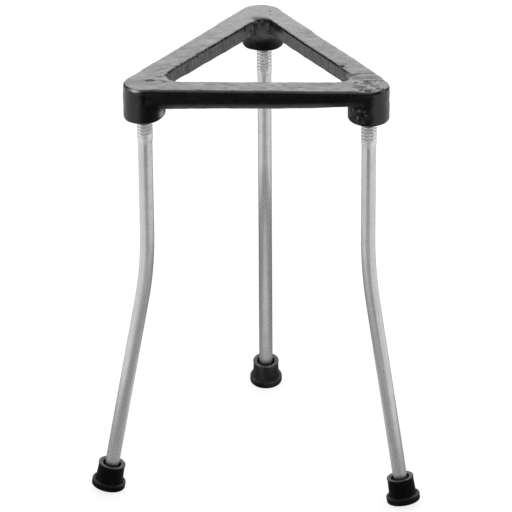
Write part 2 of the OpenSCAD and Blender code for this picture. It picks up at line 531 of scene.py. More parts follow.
# the left bar is wider than the others, most towards the back
def leftBarExtra(x, y):
    along, over = alongBar(x, y, -1)
    front, growth, more = casting["leftBarWider"]
    extra = front * softStep(along, -4, 7) + growth * softStep(along, 40, 100)
    extra += more * softStep(along, 72, 90)
    return extra * fadeOut(along, 109, 122) * softStep(over, 22, 34)


def openingDistance(x, y):
    x, y = unbentPlace(x, y)
    y = y - casting["frontEdgeTurn"] * np.clip(x, -42, 42) * fadeOut(y, -24, -12)
    inner = bossReach / 2 + casting["outerOffset"] - casting["barWidth"]
    away = {place: awayFromBoss(x, y, place) for place in legPlaces}
    result = np.zeros(x.shape)
    for place, radius in casting["innerCorners"].items():
        others = [away[other] for other in away if other != place]
        here = (away[place] <= others[0]) & (away[place] <= others[1])
        distance = triangleDistance(x, y, cornerTriangle(2 * (inner - radius))) - radius
        result = np.where(here, distance, result)
    return result


def barThickness(x, y):
    middle, growth, loss = casting["frontBar"]
    span = np.clip(x, -46, 46)
    side = between(casting["sideBar"], softStep(y, -20, 50))
    front = middle + growth * np.minimum(span, 0) + loss * np.maximum(span, 0) ** 2
    return side + (front - side) * fadeOut(y, -30, -21)


def castingField(points):
    x, y, z = points.T
    outer = triangleDistance(*unbentPlace(x, y), list(casting["outline"]))
    outer -= casting["outerOffset"] + leftBarExtra(x, y)
    opening = openingDistance(x, y)
    plan = np.maximum(outer, -opening)
    outside = softStep(outer + opening, -2, 2)
    depth = stand["height"] - z
    body = roundedEdge(plan, depth - barThickness(x, y), between(casting["lowEdge"], outside))
    blend = between((0.4, casting["fillet"]), softStep(-plan, -0.8, 1.6))
    hole = np.full(x.shape, 1e9)
    for place, (dx, dy, above, below, sag, lean) in casting["bosses"].items():
        cx, cy = bossCentre(place)
        radius = between((above, below), softStep(depth, 2.0, 9.0)) - casting["bossTaper"] * depth
        side = np.hypot(x - cx - dx, y - cy - dy) - radius
        inward = softStep(-np.sign(cx) * (x - cx), 1.0, 9.0)
        under = bossBottom - sag + lean * (x - cx) - z
        boss = roundedEdge(side, under, between(casting["bossEdge"][place], inward))
        body = softMin(body, boss, blend)
        mouth = np.clip(bossBottom + casting["holeMouth"] - z, 0, 1.5)
        bore = awayFromBoss(x, y, place) - casting["holeRadius"] - mouth
        hole = np.minimum(hole, np.maximum(bore, z - rodTop - 1.0))
    cornerX, cornerY = casting["rolledCorner"]
    rolled = fadeOut(np.hypot(x - cornerX, y - cornerY), *casting["rolledReach"])
    edge = between(casting["topEdge"], outside) + casting["rolledEdge"] * rolled * (1 - outside)
    return -softMin(-roundedEdge(body, -depth, edge), hole, 0.35)


def fieldSlope(points, step=0.02):
    slope = np.empty_like(points)
    for axis in range(3):
        shift = np.zeros(3)
        shift[axis] = step
        slope[:, axis] = (castingField(points + shift) - castingField(points - shift)) / (2 * step)
    return slope


# smooth noise between -1 and 1 from a fixed block of random numbers
class SmoothNoise:
    def __init__(self, seed, cells=48):
        self.cells = cells
        self.block = np.random.default_rng(seed).uniform(-1, 1, (cells, cells, cells))

    def at(self, points, size):
        scaled = points / size
        base = np.floor(scaled).astype(int)
        t = scaled - base
        t = t * t * t * (t * (t * 6 - 15) + 10)
        total = np.zeros(len(points))
        for corner in range(8):
            bits = np.array([corner & 1, corner >> 1 & 1, corner >> 2 & 1])
            i, j, k = ((base + bits) % self.cells).T
            weight = np.prod(np.where(bits, t, 1 - t), axis=1)
            total += self.block[i, j, k] * weight
        return total


# marks of this casting: place, width, and height, which is below nought for a pit
castMarks = (
    (42.2, -8.6, 231.0, 0.85, -1.6), (44.0, -9.6, 231.0, 0.7, 0.35),
    (-45.8, -22.4, 230.6, 0.9, -0.9), (-44.6, -20.3, 230.8, 0.6, -0.5),
    (-54.9, -30.3, 231.0, 0.9, -0.6), (-51.5, -30.0, 231.0, 0.8, -0.45),
    (-53.2, -30.2, 231.0, 1.0, -0.5), (-47.0, -28.2, 231.0, 1.6, 0.3),
    (3.2, 64.6, 231.0, 0.8, -0.3), (3.4, 59.5, 231.0, 0.8, -0.3),
    (-31.8, 5.3, 230.5, 0.8, -0.5), (-6.2, 48.8, 226.5, 1.0, -0.8),
    (-14.5, 35.0, 226.0, 0.8, -0.4), (-40.5, -9.8, 226.5, 0.8, -0.45),
    (-9.8, -31.7, 231.0, 0.7, -0.25), (-3.6, -35.4, 231.0, 0.8, -0.22),
    (21.9, -37.0, 231.0, 1.1, -0.25), (-15.5, -37.0, 231.0, 0.9, 0.25),
    (-60.5, -42.4, 230.4, 1.1, 0.3), (-47.0, -38.0, 216.6, 1.8, 0.3),
    (6.6, 43.9, 229.6, 1.1, -0.7), (8.8, 41.3, 229.6, 1.0, -0.6),
    (4.4, 46.6, 229.6, 0.9, -0.5), (-4.3, 49.2, 229.8, 0.7, -0.4),
    (-8.6, 42.4, 229.6, 1.0, -0.4), (25.8, 41.0, 229.0, 6.0, 0.45),
)

# how strong each kind of wear, and of painted light and shade, is; heights and depths are in
# millimetres, the rest are shares
castWearAndPaintedLight = {
    "calmTop": (0.15, 0.3),  # lumps lost on every top face, and more towards the back corner
    "ripples": 0.22,  # round the left inner corner
    "pad": 0.28,  # height of the right inner corner over its side bar
    "crease": (0.6, 0.2),  # round that pad, on its left and its right
    "lip": 0.8,  # worn off the edge before the back boss
    "nibbled": (0.05, 0.3),  # unevenness of the opening's edge, and on its left side
    "rightBoss": (50.5, -41.0, -13.0),  # middle of the worn place on the right boss
    "rightBossRough": 0.16,
    "filmBack": 1.1,  # grey film on the back boss, and on the right one
    "filmRight": 0.22,
    "paintedHighlightRim": 1.6,  # painted highlights on the left boss's rim and on its lower side
    "paintedHighlightSide": 0.8,
    "paintedHighlightBlobs": 0.22,  # painted highlight on the ragged skin's blobs, rubbed pale specks on the right boss, a painted highlight on the rolled corner
    "rubbedSpecks": 0.3,
    "paintedHighlightCorner": 0.3,
    "shadedCorner": (0.9, 0.8),  # painted shade in the corner right of the back boss: film taken away there and painted shade added
    "paintedShadeBack": 0.95,
    "paintedShadeFront": (0.78, 1.0),  # painted shade on the front face, at its left and its right
}


# the ragged skin of the right corner: broken blobs that end in a torn edge at the front
def raggedSkin(points, noise):
    x, y, z = points.T
    cx, cy = bossCentre("right")
    away = np.hypot(x - cx + 0.5, (y - cy + 1.5) * 1.05) + 1.6 * noise.at(points, 3.1)
    ragged = fadeOut(away, 6.5, 9.5) * softStep(z - stand["height"], -4.5, -1.5)
    blobs = 1.1 * np.abs(noise.at(points + 31, 2.3)) + 0.3 * np.abs(noise.at(points + 57, 1.4))
    return ragged, ragged * (blobs - 0.4 + 0.6 * noise.at(points + 13, 3.6))


# ripples, a pad with a crease round it, a worn lip, a nibbled edge, and the single marks
def unevenSkin(points, noise, opening):
    x, y, z = points.T
    level = z - stand["height"]
    ripples = fadeOut(np.hypot(x + 46, y + 26), 4.0, 10.0) * softStep(level, -1.5, -0.5)
    height = castWearAndPaintedLight["ripples"] * ripples * noise.at(points + 83, 2.3)
    ring = awayFromBoss(x, y, "right") + 0.7 * noise.at(points, 5.0)
    onTop = softStep(level, -1.5, -0.4) * softStep(y, -26.0, -21.5)
    crease = between(castWearAndPaintedLight["crease"], softStep(x, 46.0, 53.0)) * bell(ring - 14.7, 0.6)
    height += onTop * (castWearAndPaintedLight["pad"] * fadeOut(ring, 13.0, 14.6) - crease)
    lip = fadeOut(y, 53.2, 57.6) * fadeOut(np.abs(x + 1.8), 2.6, 5.2)
    lip *= softStep(level, -2.4, -0.6) * softStep(y, 50, 52)
    height -= castWearAndPaintedLight["lip"] * lip
    nibbled = between(castWearAndPaintedLight["nibbled"], softStep(-x, 20, 34) * softStep(y, -23, -18))
    nibbled *= bell(opening, 1.3) * softStep(level, -1.6, -0.4)
    height += nibbled * noise.at(points + 91, 1.2)
    for px, py, pz, width, amount in castMarks:
        height += amount * bell(np.sqrt((x - px) ** 2 + (y - py) ** 2 + (z - pz) ** 2), width)
    return height


# grey film of dust and rubbing on the bosses and the inner walls, and a painted highlight along the
# lower edge of the front bar
def greyFilmAndHighlight(points, noise, opening, onRight, black):
    x, y, z = points.T
    level = z - stand["height"]
    # painted highlight: a lighter band along the lower edge of the front bar, in place of the
    # floor's reflection
    filmAndPaintedHighlight = np.clip(1 - (level + barThickness(x, y) - 0.3) / 3.4, 0, 1)
    filmAndPaintedHighlight *= softStep(level, -13.0, -11.5) * fadeOut(y, -41.0, -38.0)
    filmAndPaintedHighlight *= softStep(x, -48, -40) * fadeOut(x, 28, 44)
    away = awayFromBoss(x, y, "back")
    onBack = fadeOut(away, 11.5, 12.5) * fadeOut(y, 58, 62)
    blotches = 0.75 + 0.7 * noise.at(points, 2.4) + 0.3 * noise.at(points, 1.1)
    upper = softStep(level, -13.5, -7.5) * fadeOut(level, -2.4, -1.4)
    filmAndPaintedHighlight += castWearAndPaintedLight["filmBack"] * onBack * upper * np.clip(blotches, 0, 1.4)
    filmAndPaintedHighlight += castWearAndPaintedLight["filmRight"] * onRight * (0.6 + noise.at(points, 1.3))
    walls = fadeOut(np.abs(opening), 0.8, 1.8) * fadeOut(level, -1.4, -0.8) * (1 - onBack)
    bare = bell(away - 12.5, 2.6) * np.clip(0.4 + 1.3 * noise.at(points + 5, 2.0), 0, 0.85)
    filmAndPaintedHighlight += walls * (1 - bare)
    return filmAndPaintedHighlight * (1 - castWearAndPaintedLight["shadedCorner"][0] * black), walls


# painted highlights on the left boss's rim and lower side, on the ragged skin's raised blobs and on
# the rolled corner; rubbed pale specks on the right boss
def rubbedAndHighlightPlaces(points, noise, broken, onRight):
    x, y, z = points.T
    level = z - stand["height"]
    rim = bell(x + 60.6, 2.1) * bell(level + 0.75, 0.45) * (y < -36)
    rubbedAndPaintedHighlight = castWearAndPaintedLight["paintedHighlightRim"] * rim * (0.8 + 0.5 * noise.at(points, 1.2))
    side = np.exp(-((x + 47.0) ** 2 + (y + 38.0) ** 2) / 3.5) * bell(level + 14.4, 2.8)
    rubbedAndPaintedHighlight += castWearAndPaintedLight["paintedHighlightSide"] * side
    rubbedAndPaintedHighlight += castWearAndPaintedLight["paintedHighlightBlobs"] * np.clip(broken * 2.5, 0, 1)
    specks = np.clip((noise.at(points + 23, 0.8) - 0.5) * 5, 0, 1)
    rubbedAndPaintedHighlight += castWearAndPaintedLight["rubbedSpecks"] * onRight * specks
    corner = fadeOut(np.hypot(x - 46.0, y + 20.5), 2.5, 7.0)
    corner *= fadeOut(level, -0.4, -0.1) * softStep(level, -4.0, -2.0)
    return rubbedAndPaintedHighlight + castWearAndPaintedLight["paintedHighlightCorner"] * corner


# painted shade: the facing halves of the front bosses, the lower back boss and the front face
def paintedShadePlaces(points, noise, black):
    x, y, z = points.T
    level = z - stand["height"]
    paintedShade = np.zeros(len(points))
    for place, side in (("left", 1), ("right", -1)):
        cx, cy = bossCentre(place)
        away = awayFromBoss(x, y, place)
        turned = side * (x - cx) / np.maximum(away, 1)
        facing = softStep(turned, -0.3, 0.3) * fadeOut(turned, 0.86, 0.98)
        paintedShade += facing * (away < 12.5) * (y < cy)
    paintedShade *= fadeOut(level, -9.0, -5.0)
    paintedShade += castWearAndPaintedLight["shadedCorner"][1] * black
    uneven = level + 2.5 * noise.at(points + 71, 2.2)
    roundBack = fadeOut(awayFromBoss(x, y, "back"), 11.8, 12.8)
    paintedShade += castWearAndPaintedLight["paintedShadeBack"] * roundBack * fadeOut(uneven, -14.5, -9.0)
    front = between(castWearAndPaintedLight["paintedShadeFront"], softStep(x, -25, 45)) * fadeOut(y, -43.0, -40.5)
    front *= softStep(level + barThickness(x, y), 2.5, 4.0) * fadeOut(level, -2.5, -1.0)
    return paintedShade + front * fadeOut(np.abs(x), 44, 52)


def raiseLumps(points, normals):
    noise = SmoothNoise(casting["seed"])
    x, y, z = points.T
    level = z - stand["height"]
    up = np.clip(normals[:, 2], 0, 1)
    # smoother top faces towards the back corner, which also carry the painted sheen
    calmAndPaintedSheen = softStep(y, 15, 50) * softStep(up, 0.9, 0.97)
    height = sum(noise.at(points, size) * amount for size, amount in casting["lumps"])
    height *= 1 - castWearAndPaintedLight["calmTop"][0] * up - castWearAndPaintedLight["calmTop"][1] * calmAndPaintedSheen
    opening = openingDistance(x, y)
    ragged, broken = raggedSkin(points, noise)
    px, py, pz = castWearAndPaintedLight["rightBoss"]
    onRight = fadeOut(np.sqrt((x - px) ** 2 + (y - py) ** 2 + (level - pz) ** 2), 3.0, 7.0)
    height += broken + unevenSkin(points, noise, opening)
    height += castWearAndPaintedLight["rightBossRough"] * onRight * noise.at(points + 23, 1.3)
    # painted shade: a black corner under the inner edge, right of the back boss
    black = softStep(x, 3.0, 4.5) * fadeOut(x, 8.5, 12.0) * (y > 30) * (np.abs(opening) < 3)
    black *= softStep(level, -3.8, -2.4) * fadeOut(level, -1.6, -1.0)
    filmAndPaintedHighlight, walls = greyFilmAndHighlight(points, noise, opening, onRight, black)
    rubbedAndPaintedHighlight = rubbedAndHighlightPlaces(points, noise, broken, onRight)
    paintedShade = paintedShadePlaces(points, noise, black)
    return height, {
        "ragged": ragged, "calmAndPaintedSheen": calmAndPaintedSheen, "filmAndPaintedHighlight": np.clip(filmAndPaintedHighlight, 0, 1), "walls": walls,
        "paintedShade": paintedShade, "rubbedAndPaintedHighlight": np.clip(rubbedAndPaintedHighlight, 0, 1),
    }


def getPoints(mesh):
    points = np.empty(len(mesh.vertices) * 3)
    mesh.vertices.foreach_get("co", points)
    return points.reshape(-1, 3)


def storeMasks(mesh, masks):
    for title, levels in masks.items():
        layer = mesh.attributes.new(title, "FLOAT", "POINT")
        layer.data.foreach_set("value", levels)


# the solid part in millimetres, in small even faces
def voxelBlank():
    copy = addObject("castingBlank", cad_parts["triangle_top"].data.copy())
    copy.data.transform(Matrix.Scale(1 / mm, 4))
    shape = bmesh.new()
    shape.from_mesh(copy.data)
    bmesh.ops.remove_doubles(shape, verts=shape.verts, dist=0.0005)
    shape.to_mesh(copy.data)
    shape.free()
    remesh = copy.modifiers.new("voxels", "REMESH")
    remesh.mode = "VOXEL"
    remesh.voxel_size = casting["voxel"]
    return finishedMesh(copy, "castTop")


# the blank's points go outward with the bars, so that the rounded edges keep their faces, and
# are then drawn onto the surface
def drawnOntoField(points):
    x, y, _ = points.T
    cosine, sine = sideBarRun
    straightX, straightY = unbentPlace(x, y)
    extra = leftBarExtra(x, y) * softStep(alongBar(x, y, -1)[1], 31, 38)
    outX, outY = x - straightX - sine * extra, y - straightY + cosine * extra
    points = points + np.stack([outX, outY, np.zeros(len(x))], axis=1)
    for turn in range(5):
        slope = fieldSlope(points)
        steep = np.maximum((slope**2).sum(axis=1), 0.05)
        move = (castingField(points) / steep)[:, None] * slope
        points -= np.clip(move, -0.8, 0.8)
    return points


def makeCasting():
    mesh = voxelBlank()
    points = drawnOntoField(getPoints(mesh))
    slope = fieldSlope(points)
    normals = slope / np.linalg.norm(slope, axis=1)[:, None]
    height, masks = raiseLumps(points, normals)
    points += normals * height[:, None]
    mesh.vertices.foreach_set("co", (points * mm).ravel())
    mesh.update()
    storeMasks(mesh, masks)
    return addPiece("castTop", mesh, enamel, "triangle_top")


castTop = makeCasting()
print("casting made,", len(castTop.data.polygons), "faces")


# Legs. One tree makes a rod from its top down: a grid is wrapped round the rod's middle line,
# and its radius follows the thread, the run-out and the chamfers at both ends.
rod = {
    "Rod Diameter": 7.2,
    "Lower Diameter": 7.4,
    "Crest Diameter": 7.9,
    "Root Diameter": 7.3,
    "Pitch": 1.8,
    "Run Out": 3.2,
    "Run Out Slant": 1.26,  # how much later the grooves end on one side
    "Swell": 3.78,  # length over which the thickened end narrows to the rod
    "Bend Drop": 64.5,
    "Bend Radius": 210.0,
    "Splay": math.radians(10.4),
    "Chamfer": 0.7,
    "Smear": 10.3,  # how far up from its end the rod is darkened, a painted shade inside the foot's mouth
    "Smear Edge": 0.8,
}
rodMesh = {"around": 72, "threadRows": 300, "plainRows": 130, "crestPower": 0.8, "weld": 1e-6}
footFloor = 4.0
flange = {"radius": 8.8, "edge": 0.5}


def lowerLegEnd():
    tilt = rod["Splay"]
    bendEnd = bossBottom - rod["Bend Drop"] - rod["Bend Radius"] * math.sin(tilt)
    edge = flange["edge"]
    footHeight = (flange["radius"] - edge) * math.sin(tilt) - edge * math.cos(tilt) + edge
    return bendEnd, (bendEnd - footHeight) / math.cos(tilt)


def makeRodTree():
    titles = ["Thread End", "Groove End", "Rod Top", "Bend Start", "Length", "Phase", "Turn"]
    inputs = dict.fromkeys([*rod, *titles], "Float") | {"Place": "Vector", "Finish": "Material"}
    tree, given, out = newTree("threadedRod", "GeometryNodeTree", inputs, {"Rod": "Geometry"})
    threadEnd, length, phase = given["Thread End"], given["Length"], given["Phase"]
    bendRadius, chamfer = given["Bend Radius"], given["Chamfer"]
    threadRows, plainRows = rodMesh["threadRows"], rodMesh["plainRows"]
    rows = threadRows + plainRows
    grid = addNode(tree, "GeometryNodeMeshGrid", 1.0, 1.0, rodMesh["around"] + 1, rows)
    position = tree.nodes.new("GeometryNodeInputPosition").outputs[0]
    flatX, flatY, _ = map(Value, addNode(tree, "ShaderNodeSeparateXYZ", position).outputs)
    angle = (flatX + 0.5) * math.tau
    row = (flatY + 0.5) * (rows - 1.0)  # counted from the top of the rod
    # close rows through the thread, wide ones below it
    threadRow = (row - 1.0) * threadEnd / (threadRows - 2.0)
    plainRow = (row - (threadRows - 1.0)) / (plainRows - 2.0) * (length - threadEnd) + threadEnd
    down = blended(row.do("GREATER_THAN", threadRows - 1.0), threadRow, plainRow)
    down = down.do("MAXIMUM", 0.0).do("MINIMUM", length)
    # middle line: straight, then an arc, then straight again
    straight = given["Rod Top"] - given["Bend Start"]
    past = down - straight
    lean = (past / bendRadius).do("MAXIMUM", 0.0).do("MINIMUM", given["Splay"])
    lower = (past - bendRadius * given["Splay"]).do("MAXIMUM", 0.0)
    sine, cosine = lean.do("SINE"), lean.do("COSINE")
    outward = bendRadius * (1.0 - cosine) + lower * sine
    drop = bendRadius * sine + down.do("MINIMUM", straight) + lower * cosine
    # thread: rounded crests that sink into the swollen end of the thread, later on one side
    crest, root = given["Crest Diameter"] * 0.5, given["Root Diameter"] * 0.5
    plain = blended(down / length, given["Rod Diameter"], given["Lower Diameter"]) * 0.5
    helix = down / given["Pitch"] * math.tau + angle + phase
    wave = (helix.do("COSINE") * 0.5 + 0.5).do("POWER", rodMesh["crestPower"])
    fadeEnd = given["Groove End"] + (angle + phase).do("COSINE") * given["Run Out Slant"]
    shallow = eased(down, fadeEnd - given["Run Out"], fadeEnd)
    threaded = blended(wave, blended(shallow, root, crest), crest)
    swell = eased(down, threadEnd - given["Swell"], threadEnd, 1.0, 0.0)
    radius = blended(swell, plain, threaded)
    # chamfers, and both ends closed in the middle
    radius = radius.do("MINIMUM", crest - chamfer + down)
    radius = radius.do("MINIMUM", plain - chamfer + (length - down))
    radius *= row.do("GREATER_THAN", 0.5) * row.do("LESS_THAN", rows - 1.5)
    across, side = radius * angle.do("COSINE"), radius * angle.do("SINE")
    bent = (across * cosine + outward, side, across * sine + given["Rod Top"] - drop)
    unbent = (across, side, down)
    # painted shade: the rod darkened inside the foot's mouth and just above its rim
    mouthShaded = eased(down - length + given["Smear"], 0.0, given["Smear Edge"])
    marks = (
        ("rodPlace", "FLOAT_VECTOR", addNode(tree, "ShaderNodeCombineXYZ", *unbent).outputs[0]),
        ("threadCrest", "FLOAT", 1.0 - swell * (1.0 - wave) * (1.0 - shallow)),
        ("threaded", "FLOAT", swell),
        ("mouthShaded", "FLOAT", mouthShaded),
    )
    shape = grid.outputs[0]
    for title, kind, value in marks:
        store = addNode(tree, "GeometryNodeStoreNamedAttribute", data_type=kind)
        feed(store, {"Geometry": shape, "Name": title})
        put(next(s for s in store.inputs if s.name == "Value" and s.enabled), value)
        shape = store.outputs[0]
    steps = (
        ("SetPosition", {"Position": addNode(tree, "ShaderNodeCombineXYZ", *bent).outputs[0]}),
        ("MergeByDistance", {"Distance": rodMesh["weld"]}),
        ("FlipFaces", {}),
        ("Transform", {
            "Translation": given["Place"],
            "Rotation": addNode(tree, "ShaderNodeCombineXYZ", 0.0, 0.0, given["Turn"]).outputs[0],
        }),
        ("RealizeInstances", {}),
        ("SetMaterial", {"Material": given["Finish"]}),
    )
    for kind, values in steps:
        node = addNode(tree, "GeometryNode" + kind, shape)
        feed(node, values)
        shape = node.outputs[0]
    put(out["Rod"], shape)
    return tree


def meshFromTree(name, tree, values):
    maker = addObject(name + "Maker", bpy.data.meshes.new(name + "Maker"))
    nodes = maker.modifiers.new("nodes", "NODES")
    nodes.node_group = tree
    for item in tree.interface.items_tree:
        if item.item_type == "SOCKET" and item.in_out == "INPUT":
            nodes[item.identifier] = values[item.name]
    return finishedMesh(maker, name)


def makeLeg(tree, place):
    where = legPlaces[place]
    bendEnd, lower = lowerLegEnd()
    bendStart = bossBottom - rod["Bend Drop"]
    length = rodTop - bendStart + rod["Bend Radius"] * rod["Splay"] + lower - footFloor
    lengths = {title: value * mm for title, value in rod.items() if title != "Splay"}
    values = {
        **lengths,
        "Splay": rod["Splay"],
        "Thread End": (stand["threadInside"] + where["threadShows"]) * mm,
        "Groove End": (stand["threadInside"] + where["groovesShow"]) * mm,
        "Rod Top": rodTop * mm,
        "Bend Start": bendStart * mm,
        "Length": length * mm,
        "Phase": where["wander"],
        "Turn": math.radians(where["angle"] + where["turn"]),
        "Place": Vector((*bossCentre(place), 0)) * mm,
        "Finish": plating,
    }
    mesh = meshFromTree("leg." + place, tree, values)
    return addPiece("leg." + place, mesh, plating, "leg_" + place)


rodTree = makeRodTree()
for place in legPlaces:
    leg = makeLeg(rodTree, place)
    print("leg made:", place, len(leg.data.polygons), "faces")


# Feet. A half section is turned round the leg's axis; each corner has its own rounding.
foot = {
    "height": 13.5,
    "flange": 3.6,
    "cup": 7.05,
    "neck": 6.82,
    "rim": 7.08,
    "rimDepth": 1.1,
    "mouth": 4.8,
    "mouthDepth": 4.5,
    "mouthShift": 0.45,  # how far the mouth lies in front of the leg
    "socket": 3.75,
    "hollow": (6.2, 6.9, 0.35),  # the underside's hollow: radius of its roof and edge, and depth
    "segments": 112,
    "seam": (0.22, 0.07),  # width and height of the mould's parting line
    "lumps": (4.0, 0.05),
    "oval": 0.03,
    "shoulderHighlight": (0.12, 0.5),  # painted highlight on the flange's shoulder: in front, and at its ends
    "noiseSeed": 400,
}


def footSection():
    f = foot
    rimLow = f["height"] - f["rimDepth"]
    mouthFloor = f["height"] - f["mouthDepth"]
    roof, brim, hollow = f["hollow"]
    return [  # radius, height, rounding of the corner
        (0.0, hollow, 0), (roof, hollow, 0.3), (brim, 0.0, 0.3),
        (flange["radius"], 0.0, flange["edge"]), (flange["radius"] + 0.05, f["flange"] - 0.35, 0.8),
        (f["cup"] + 0.1, f["flange"] + 0.25, 0.8), (f["neck"], rimLow - 0.3, 0.6),
        (f["rim"] - 0.05, rimLow + 0.25, 0.4), (f["rim"], f["height"], 0.4),
        (f["mouth"], f["height"] - 0.05, 0.35), (f["mouth"], mouthFloor, 0.5),
        (f["socket"], mouthFloor - 0.1, 0.1), (f["socket"], footFloor, 0.1), (0.0, footFloor, 0),
    ]


def roundedCorners(corners, steps=6):
    line = [corners[0][:2]]
    for before, here, after in zip(corners, corners[1:], corners[2:]):
        middle = Vector(here[:2])
        back, ahead = Vector(before[:2]) - middle, Vector(after[:2]) - middle
        halfAngle = back.angle(ahead) / 2
        reach = here[2] / max(math.tan(halfAngle), 0.05)
        reach = min(reach, 0.48 * back.length, 0.48 * ahead.length)
        start, end = middle + back.normalized() * reach, middle + ahead.normalized() * reach
        for step in range(steps + 1):
            t = step / steps
            bend = start * (1 - t) ** 2 + middle * 2 * t * (1 - t) + end * t * t
            line.append((bend.x, bend.y))
    line.append(corners[-1][:2])
    return line


def turnedMesh(name, line, segments):
    shape = bmesh.new()
    turns = [math.tau * i / segments for i in range(segments)]
    rings = []
    for radius, height in line:
        around = turns if radius > 1e-6 else [0.0]
        places = [(radius * math.cos(a), radius * math.sin(a), height) for a in around]
        rings.append([shape.verts.new(place) for place in places])
    for low, high in zip(rings, rings[1:]):
        for i in range(segments):
            j = (i + 1) % segments
            if len(low) == 1:
                shape.faces.new((low[0], high[j], high[i]))
            elif len(high) == 1:
                shape.faces.new((low[i], low[j], high[0]))
            else:
                shape.faces.new((low[i], low[j], high[j], high[i]))
    bmesh.ops.recalc_face_normals(shape, faces=shape.faces)
    mesh = bpy.data.meshes.new(name)
    shape.to_mesh(mesh)
    shape.free()
    return mesh


# where a foot stands on the lower end of its leg
def footStand(place, heading):
    bendEnd, lower = lowerLegEnd()
    tilt = rod["Splay"]
    bendOut = rod["Bend Radius"] * (1 - math.cos(tilt))
    return (
        Matrix.Translation(Vector((*bossCentre(place), 0)))
        @ Matrix.Rotation(heading, 4, "Z")
        @ Matrix.Translation((bendOut, 0, bendEnd))
        @ Matrix.Rotation(-tilt, 4, "Y")
        @ Matrix.Translation((0, 0, -lower))
    )


# the flange, the rim and the underside are scuffed; the rim's top and the shoulder get a painted
# highlight, the shoulder most at its left and right ends
def footWearAndHighlights(radius, z, angle, heading, greyedShare):
    scuffed = softStep(radius, 7.4, 8.6) + softStep(z, 12.6, 13.4) + fadeOut(z, 0.0, 1.0)
    aside = np.abs(np.cos(angle + heading))
    shoulder = softStep(radius, 7.4, 7.9) * softStep(z, 2.7, 3.3)
    shoulder *= between(foot["shoulderHighlight"], softStep(aside, 0.4, 0.9))
    rim = softStep(z, foot["height"] - 0.35, foot["height"] - 0.1)
    greyed = softStep(z, 0.3, 2.0) * greyedShare
    rubbedAndPaintedHighlight = np.maximum(rim, shoulder)
    return {"scuffed": np.clip(scuffed, 0, 1), "rubbedAndPaintedHighlight": rubbedAndPaintedHighlight, "greyed": greyed}


def makeFoot(place):
    where = legPlaces[place]
    heading = math.radians(where["angle"] + where["turn"])
    mesh = turnedMesh("foot." + place, roundedCorners(footSection()), foot["segments"])
    points = getPoints(mesh)
    x, y, z = points.T
    radius = np.hypot(x, y)
    angle = np.arctan2(y, x)
    # moulded a little out of round, with the parting line of the mould on both sides
    outside = softStep(radius, 5.6, 6.4)
    noise = SmoothNoise(int(where["angle"]) + foot["noiseSeed"], 24)
    seam = bell(np.sin(angle - where["wander"]) * radius, foot["seam"][0]) * foot["seam"][1]
    lumps = foot["lumps"][1] * noise.at(points, foot["lumps"][0])
    swell = outside * (seam + lumps + foot["oval"] * np.cos(2 * angle + where["wander"]))
    # the back foot is given a greyer colour
    greyedShare = where["greyed"] * outside
    points[:, :2] *= (1 + swell / np.maximum(radius, 1))[:, None]
    greyedShare *= np.clip(0.75 + 0.6 * noise.at(points, 2.6), 0, 1)
    mesh.vertices.foreach_set("co", points.ravel())
    storeMasks(mesh, footWearAndHighlights(radius, z, angle, heading, greyedShare))
    # the leg leans to the back of its mouth
    inMouth = (radius < foot["mouth"] + 0.5) & (radius > foot["socket"] + 0.3)
    inMouth &= z > foot["height"] - foot["mouthDepth"] - 0.3
    mesh.transform(footStand(place, heading))
    points = getPoints(mesh)
    points[inMouth, 1] -= foot["mouthShift"]
    points[:, 2] = np.maximum(points[:, 2], 0)
    mesh.vertices.foreach_set("co", (points * mm).ravel())
    mesh.update()
    return addPiece("foot." + place, mesh, rubber, "foot_" + place)


for place in legPlaces:
    footPiece = makeFoot(place)
    print("foot made:", place, len(footPiece.data.polygons), "faces")


# Studio: a pale floor that runs white to the eye and to reflections and keeps a soft shadow
studio = {
    "floorSize": 12,
    "floorWhite": 0.9,
    "shadowShare": 0.17,
    "shadowReach": 0.5,  # farther out the camera sees the floor plain white
    "worldDiffuse": 0.27,
    "worldReflected": 0.05,
    "panelAim": (0, 0, 0.12),
    "panels": {
        "backPanel": {"at": (0.1, 1.6, 0.98), "size": (2.4, 1.24), "watts": 26.0},
        "leftPanel": {"at": (-1.5, -0.05, 0.8), "size": (0.9, 1.3), "watts": 9.0},
        "rightPanel": {"at": (1.5, 0.0, 0.8), "size": (0.9, 1.3), "watts": 9.0},
        "topPanel": {"at": (0.0, 0.4, 1.75), "size": (1.5, 1.7), "watts": 19.0},
        "frontPanel": {"at": (0.0, -1.35, 1.35), "size": (1.7, 0.9), "watts": 9.0},
    },
    # Long dark sheets before and behind the stand, seen only in reflections, where they paint
    # shade: height, middle line, where each starts and ends, its half width and soft edge with
    # their growth per metre, and how dark it is at its start and after that. Past the step it is
    # wider and has the last darkness.
    "frontShadeSheet": {
        "height": 0.0004, "middle": 0.01, "near": -0.09, "far": -3.0,
        "half": 0.125, "halfGrowth": 0.0, "soft": 0.1, "softGrowth": 0.1,
        "step": (0.372, 0.402), "wider": 0.1, "dark": (0.2, 0.48, 1.0), "darkens": (0.08, 0.2),
    },
    "backShadeSheet": {
        "height": 0.0003, "middle": 0.0, "near": 0.12, "far": 2.0,
        "half": 0.18, "halfGrowth": 0.3, "soft": 0.1, "softGrowth": 0.1,
        "step": (3.0, 4.0), "wider": 0.0, "dark": (0.8, 0.8, 0.8), "darkens": (0.08, 0.2),
    },
    # painted shadow: a grey round sheet under the stand, seen only in reflections, darker behind
    # and lighter in its middle
    "underShadowSheet": {
        "height": 0.0002, "middle": (0.005, 0.0), "half": 0.2, "soft": 0.06,
        "dark": (0.66, 0.82), "darkens": (-0.03, 0.06),
        "lighterAt": (0.0, 0.015), "lighter": 0.58, "lighterRim": (0.02, 0.085),
    },
    "shadeSheetCorners": 48,
    "shadeSheetGrey": 0.01,
}


def emptyTree(owner):
    owner.use_nodes = True
    owner.node_tree.nodes.clear()
    return owner.node_tree


